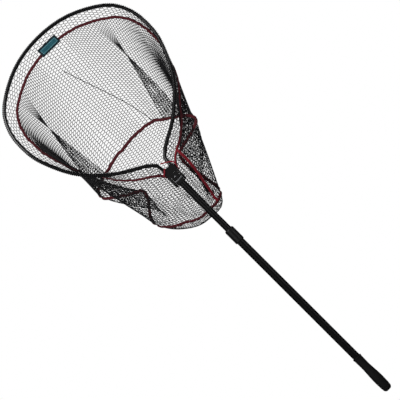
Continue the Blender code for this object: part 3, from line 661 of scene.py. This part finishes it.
pleatSettings = [
    # the column a pleat hangs from, how far it drifts round the bag on its way down, how many columns it
    # takes up on each side and how many are folded over at its foot
    {"column": 46.0, "drift": -2.0, "reach": 9.0, "fold": 6.0},
    {"column": 72.0, "drift": 3.0, "reach": 9.0, "fold": 6.0},
]


# where a strand of the wall lies once its slack is folded into pleats: the column and how far forward
def pleated(strand, share):
    strand, share = np.broadcast_arrays(np.asarray(strand, float), np.asarray(share, float))
    column, forward, used = strand.copy(), np.zeros(strand.shape), 0.0
    for pleat in pleatSettings:
        reach, fold = pleat["reach"], pleat["fold"]
        half = reach + fold
        start = pleat["column"] - reach + used
        m = strand - start - half
        folded = np.where(m < -fold / 2, m + fold, np.where(m > fold / 2, m - fold, -m))
        grown = np.clip(share * 1.05, 0, 1)
        spot = (1 - grown) * m * reach / half + grown * folded
        drift = pleat["drift"] * grown * (1 - (spot / reach) ** 2)
        inside = np.abs(m) <= half
        used += 2 * fold
        column = np.where(inside, pleat["column"] + spot + drift, np.where(m > half, strand - used, column))
        layer = np.clip(m / fold + 0.5, 0, 1) * np.exp(-(m / (1.5 * fold)) ** 2)
        forward = forward + np.where(inside, 0.004 * grown * layer, 0.0)
    return column, forward


# upright strands with short cross bars between them, staggered like brickwork
def curtainLines(rows, depth, startAt, endAt, startRow, rowCount, chains, folds=False):
    columns = rows.shape[1]
    extra = sum(2 * pleat["fold"] for pleat in pleatSettings) if folds else 0.0
    pitch = (columns + extra) / chains
    cell = netSettings["cellHeight"]
    swing = netSettings["wander"] / netSettings["cellWidth"] * columns / chains
    ring, long = np.arange(columns + 1), np.append(depth, depth[0])
    groups, bars = [], []

    def foot(chain):
        u = pleated(chain * pitch, 0.0)[0] if folds else chain * pitch
        return endAt(float(np.interp(u % columns, ring, long)))

    def spot(chain, down):
        share = (down - startAt) / (foot(chain) - startAt)
        phase = down / cell - 0.5 * (chain % 2)
        u = chain * pitch + swing * np.cos(2 * math.pi * phase)
        forward = 0.0
        if folds:
            u, forward = pleated(u, share)
        point = clothPoint(rows, u, startRow + share * rowCount)
        point[..., 1] -= forward
        return point
    for chain in range(chains):
        end = foot(chain)
        down = np.append(np.arange(startAt, end - 0.001, cell / 2), end)
        groups.append(spot(chain, down)[None])
        offset = 0.5 * (chain % 2)
        first = math.ceil(startAt / cell - offset + 0.01)
        last = min(end, foot(chain + 1)) - 0.002
        steps = (np.arange(first, int(last / cell - offset) + 1) + offset) * cell
        if len(steps):
            left, right = spot(chain, steps), spot(chain + 1, steps)
            bars.append(np.stack([left, (left + right) / 2, right], axis=1))
    return groups, [np.concatenate(bars)]


def makeNetting(rows, depth, cord):
    columns = rows.shape[1]
    loop = np.vstack([mouthEdge(), mouthEdge()[:1]])
    around = float(np.linalg.norm(np.diff(loop, axis=0), axis=1).sum())
    chains = 2 * round(around / netSettings["cellWidth"] / 2)
    strand = netSettings["strand"]
    drop = bagSettings["rimDrop"]
    rimUp, rimBars = curtainLines(rows, depth, 0.0, lambda d: drop, 0, bagSettings["rimRows"], chains)
    rim = strandMesh("rimNetting", rimUp + rimBars, strand, cord)
    folded = sum(2 * pleat["fold"] for pleat in pleatSettings)
    wallChains = 2 * round(chains * (columns + folded) / columns / 2)
    wallUp, wallBars = curtainLines(rows, depth, drop, lambda d: d, bagSettings["rimRows"],
                                    bagSettings["wallRows"], wallChains, folds=True)
    # the seam that closes the wall runs slantwise down the back
    top = netSettings["seamTop"]
    share = np.linspace(top, 1.0, 60)
    column = netSettings["seamColumn"] - netSettings["seamSlant"] * (share - top) / (1 - top)
    seam = clothPoint(rows, column + netSettings["seamBend"] * np.sin(share * 5),
                      bagSettings["rimRows"] + share * bagSettings["wallRows"])
    wall = strandMesh("wallNetting", wallUp + wallBars, strand, cord)
    seamLine = strandMesh("wallSeam", [seam[None]], netSettings["seamStrand"], cord)

    # the bottom panel is cut from flat netting, so its strands run straight across it
    startRow = bagSettings["rimRows"] + bagSettings["wallRows"]
    panel = bagStart()[0][startRow]
    middle = np.array([0.0, bagSettings["panelMiddle"]])
    flat = panel[:, [0, 2]] - middle
    flat[:, 1] *= 1.15
    angles = np.unwrap(np.arctan2(flat[:, 1], flat[:, 0]))
    reach = np.hypot(flat[:, 0], flat[:, 1])
    order = np.argsort(angles)
    ringAngles = np.concatenate([angles[order] - 2 * math.pi, angles[order], angles[order] + 2 * math.pi])
    ringColumns = np.concatenate([order - columns, order, order + columns]).astype(float)
    ringReach = np.tile(reach[order], 3)

    def panelPoint(s, t):
        angle = np.arctan2(t, s)
        far = np.interp(angle, ringAngles, ringReach)
        u = np.interp(angle, ringAngles, ringColumns)
        share = np.hypot(s, t) / far
        return u, startRow + (1 - np.minimum(share, 1.0)) * bagSettings["baseRows"], share

    wide, high = netSettings["cellWidth"], netSettings["cellHeight"]
    lines, bars = [], []
    for number, s in enumerate(np.arange(-0.25, 0.25, wide)):
        t = np.arange(-0.25, 0.25, high / 2)
        swing = netSettings["wander"] * np.cos(2 * math.pi * (t / high - 0.5 * (number % 2)))
        u, v, share = panelPoint(s + swing, t)
        inside = share < 1.0
        if inside.sum() > 2:
            lines.append(clothPoint(rows, u[inside], v[inside])[None])
        steps = (np.arange(-40, 40) + 0.5 * (number % 2)) * high
        u0, v0, share0 = panelPoint(s + netSettings["wander"], steps)
        u1, v1, share1 = panelPoint(s + wide - netSettings["wander"], steps)
        keep = (share0 < 1.0) & (share1 < 1.0)
        if keep.any():
            a, b = clothPoint(rows, u0[keep], v0[keep]), clothPoint(rows, u1[keep], v1[keep])
            bars.append(np.stack([a, b], axis=1))
    base = strandMesh("panelNetting", lines + [np.concatenate(bars)], strand, cord)
    print("netting made:", chains, "strands round the mouth")
    return rim, wall, base, seamLine, chains


# the net's selvedge: loops of strand round the hoop's tube, two for every upright strand
def makeHoopLoops(chains, cord):
    path = evenPath(mouthEdge()[:-1, [0, 2]], 2 * chains)[4:-4]
    tangent = np.gradient(path, axis=0)
    tangent /= np.linalg.norm(tangent, axis=1, keepdims=True)
    radius = hoopRadius + netSettings["loopClear"]
    angles = np.linspace(0, 2 * math.pi, 13)
    rings = []
    for (x, z), (tx, tz) in zip(path, tangent):
        lean = netSettings["loopLean"] * np.sin(angles)
        rings.append(np.column_stack([x - tz * radius * np.cos(angles) + tx * lean, radius * np.sin(angles),
                                      z + tx * radius * np.cos(angles) + tz * lean]))
    return strandMesh("hoopLoops", [np.array(rings)], netSettings["strand"], cord)


tapeSettings = {
    "upperWidth": 0.0092, "lowerWidth": 0.0108, "thickness": 0.0012,
    "lift": 0.0016,           # the tapes are sewn on the mouth's side of the netting
    "ruffle": 0.0016,         # and pucker where the net is gathered
    "seamWidth": 0.0100, "seamLift": 0.0022, "seamFoot": 0.052,     # the seam tape starts at this x
    "tailWidth": 0.0044, "tailThickness": 0.0014,
}


def ringTape(name, rows, row, width, material, seed):
    columns = rows.shape[1]
    u = np.linspace(0, columns, 360, endpoint=False)
    middle = clothPoint(rows, u, np.full(len(u), float(row)))
    above = clothPoint(rows, u, np.full(len(u), row - 0.4))
    below = clothPoint(rows, u, np.full(len(u), row + 0.4))
    across = below - above
    across /= np.maximum(np.linalg.norm(across, axis=1, keepdims=True), 1e-9)
    along = np.roll(middle, -1, axis=0) - np.roll(middle, 1, axis=0)
    along /= np.maximum(np.linalg.norm(along, axis=1, keepdims=True), 1e-9)
    across -= along * (across * along).sum(1, keepdims=True)
    across /= np.maximum(np.linalg.norm(across, axis=1, keepdims=True), 1e-9)
    out = np.cross(along, across)
    out[out[:, 1] > 0] *= -1
    random = np.random.default_rng(seed)
    t = np.linspace(0, 2 * math.pi, len(u), endpoint=False)
    pucker = sum(random.uniform(0.4, 1.0) * np.sin(k * t + random.uniform(0, 6.3)) for k in (17, 29, 41, 58))
    middle = middle + out * tapeSettings["lift"] + across * (pucker * tapeSettings["ruffle"] / 3)[:, None]
    return ribbonMesh(name, middle, across, out, width, tapeSettings["thickness"], material, closed=True)


def seamTape(rows, material):
    half = hoopHalf(bagSettings["columns"] // 2)
    column = float(np.argmin(np.abs(half[:, 0] - tapeSettings["seamFoot"])))
    v = np.linspace(bagSettings["rimRows"], bagSettings["rimRows"] + bagSettings["wallRows"], 60)
    bend = 0.35 * np.sin(np.linspace(0, 7.0, 60)) - 1.9 * np.linspace(0, 1, 60)
    middle = clothPoint(rows, column + bend, v)
    side = clothPoint(rows, column + bend + 0.4, v) - clothPoint(rows, column + bend - 0.4, v)
    side /= np.linalg.norm(side, axis=1, keepdims=True)
    along = np.gradient(middle, axis=0)
    along /= np.linalg.norm(along, axis=1, keepdims=True)
    side -= along * (side * along).sum(1, keepdims=True)
    side /= np.linalg.norm(side, axis=1, keepdims=True)
    out = np.cross(along, side)
    out[out[:, 1] > 0] *= -1
    return ribbonMesh("seamTape", middle + out * tapeSettings["seamLift"], side, out,
                      tapeSettings["seamWidth"], tapeSettings["thickness"], material)


labelSettings = {
    "width": 0.077, "height": 0.030, "middle": 0.009, "drop": -0.004, "thickness": 0.0011,
    "border": 0.0062, "stitchLine": 0.0084, "stitchReach": 0.0006,      # all in from the edge
    "lift": 0.0046,           # in front of the upper tape's row
    "ripple": 0.0007, "rippleTurn": 160,      # height, and radians per metre
}


# a folded woven label sewn over the upper tape at the bow, a little slack between its stitches
def makeLabel(rows, material):
    middleRow = bagSettings["rimRows"]
    wide, high = 29, 13
    bow = clothPoint(rows, np.linspace(48, 72, 400), np.full(400, float(middleRow)))
    xs = labelSettings["middle"] + np.linspace(-0.5, 0.5, wide) * labelSettings["width"]
    order = np.argsort(bow[:, 0])
    depthAt = np.interp(xs, bow[order, 0], bow[order, 1])
    heightAt = np.interp(xs, bow[order, 0], bow[order, 2])
    level = np.polyval(np.polyfit(xs, heightAt, 1), xs) - labelSettings["drop"]
    down = np.linspace(0.5, -0.5, high) * labelSettings["height"]
    tilt = math.tan(math.radians(bagSettings["tiltDegrees"]))
    points, uvs = [], []
    for i, step in enumerate(down):
        ripple = labelSettings["ripple"] * np.sin(xs * labelSettings["rippleTurn"]) \
            * math.cos(math.pi * step / labelSettings["height"])
        for j in range(wide):
            points.append((xs[j], depthAt[j] - labelSettings["lift"] - step * tilt + ripple[j],
                           level[j] + step))
            uvs.append((j / (wide - 1) * labelSettings["width"], i / (high - 1) * labelSettings["height"]))
    faces = [(i * wide + j, (i + 1) * wide + j, (i + 1) * wide + j + 1, i * wide + j + 1)
             for i in range(high - 1) for j in range(wide - 1)]
    mesh = bpy.data.meshes.new("label")
    mesh.from_pydata(points, [], faces)
    layer = mesh.uv_layers.new(name="along")
    layer.data.foreach_set("uv", np.array([uvs[v] for face in faces for v in face], np.float32).ravel())
    mesh.materials.append(material)
    label = bpy.data.objects.new("label", mesh)
    scene.collection.objects.link(label)
    bpy.ops.object.select_all(action="DESELECT")
    bpy.context.view_layer.objects.active = label
    label.select_set(True)
    solid = label.modifiers.new("cloth", "SOLIDIFY")
    solid.thickness = labelSettings["thickness"]
    solid.offset = 0.0
    bpy.ops.object.modifier_apply(modifier="cloth")
    label.data.shade_smooth()
    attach(label, "head")
    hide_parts("net_label")
    return label


# loose ends of the bright tape, tied in front of the hoop's arms
def makeTails(material):
    front, side, knot, ahead = -0.0084, 0.0249, 1.003, -0.013
    routes = {
        "tailRight": ([(side, -0.004, knot - 0.023), (side + 0.002, front / 2, knot - 0.009),
                       (side + 0.0045, front, knot + 0.001), (side + 0.001, front, knot + 0.0125),
                       (side - 0.012, front, knot + 0.021), (-0.007, front, knot + 0.033)],
                      "tape_tail_right"),
        "tailLeft": ([(-side, -0.004, 0.990), (-side - 0.0012, ahead - 0.001, 0.999),
                      (-side + 0.007, ahead - 0.001, 1.0055), (-0.0134, ahead, 1.0105),
                      (-0.006, front - 0.0012, 1.0145)], "tape_tail_left"),
        "tailBranch": ([(side + 0.006, front, knot + 0.002), (side + 0.022, front * 0.7, knot + 0.018),
                        (side + 0.038, front * 0.4, knot + 0.030), (side + 0.050, front * 0.2, knot + 0.036)],
                       "tape_branch"),
    }
    for name, (points, node) in routes.items():
        middle = smoothPath(points, 8)
        along = np.gradient(middle, axis=0)
        along /= np.linalg.norm(along, axis=1, keepdims=True)
        across = np.cross(along, (0.0, 1.0, 0.0))
        across /= np.linalg.norm(across, axis=1, keepdims=True)
        out = np.cross(along, across)
        piece = ribbonMesh(name, middle, across, out, tapeSettings["tailWidth"],
                           tapeSettings["tailThickness"], material)
        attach(piece, "head")
        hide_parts(node)


def makeBag(looks):
    rows, depth = hangBag()
    rim, wall, base, seamLine, chains = makeNetting(rows, depth, looks["net"])
    loops = makeHoopLoops(chains, looks["net"])
    upper = ringTape("upperTape", rows, bagSettings["rimRows"], tapeSettings["upperWidth"],
                     looks["darkTape"], 3)
    lower = ringTape("lowerTape", rows, bagSettings["rimRows"] + bagSettings["wallRows"],
                     tapeSettings["lowerWidth"], looks["darkTape"], 8)
    seam = seamTape(rows, looks["brightTape"])
    for piece, node, slot in ((rim, "net_rim", "net_black"), (wall, "net_wall", "net_black"),
                              (base, "net_base", "net_black"), (upper, "upper_tape", "tape_dark_red"),
                              (lower, "lower_tape", "tape_dark_red"), (seam, "seam_tape", "tape_red")):
        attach(piece, "head")
        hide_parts(node)
    label = makeLabel(rows, looks["label"])
    for piece in (loops, seamLine):
        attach(piece, "head")
    makeTails(looks["brightTape"])
    print("bag made")


# handle and hoop

def dressHandle(looks):
    for node, obj in nodes.items():
        slot = next(s["material_slot"] for s in frame["record"]["subparts"] if s["node"] == node)
        if slot in looks:
            obj.data.materials.clear()
            obj.data.materials.append(looks[slot])
    print("handle dressed")


def main():
    makeCamera()
    makeStudio()
    looks = {
        "tube_black": anodisedTube(), "hoop_black": glossPowderCoat(), "grip_black": gripRubber(),
        "moulded_black": mouldedNylon(), "steel": turnedSteel(), "net": netCord(),
        "darkTape": wovenTape("dark red binding tape", "#40101a", "#83202e"),
        "label": wovenLabel(),
        "brightTape": wovenTape("bright red binding tape", "#8c1a2a", "#d42a40"),
    }
    looks["inner_black"] = looks["moulded_black"]
    dressHandle(looks)
    makeBag(looks)


main()
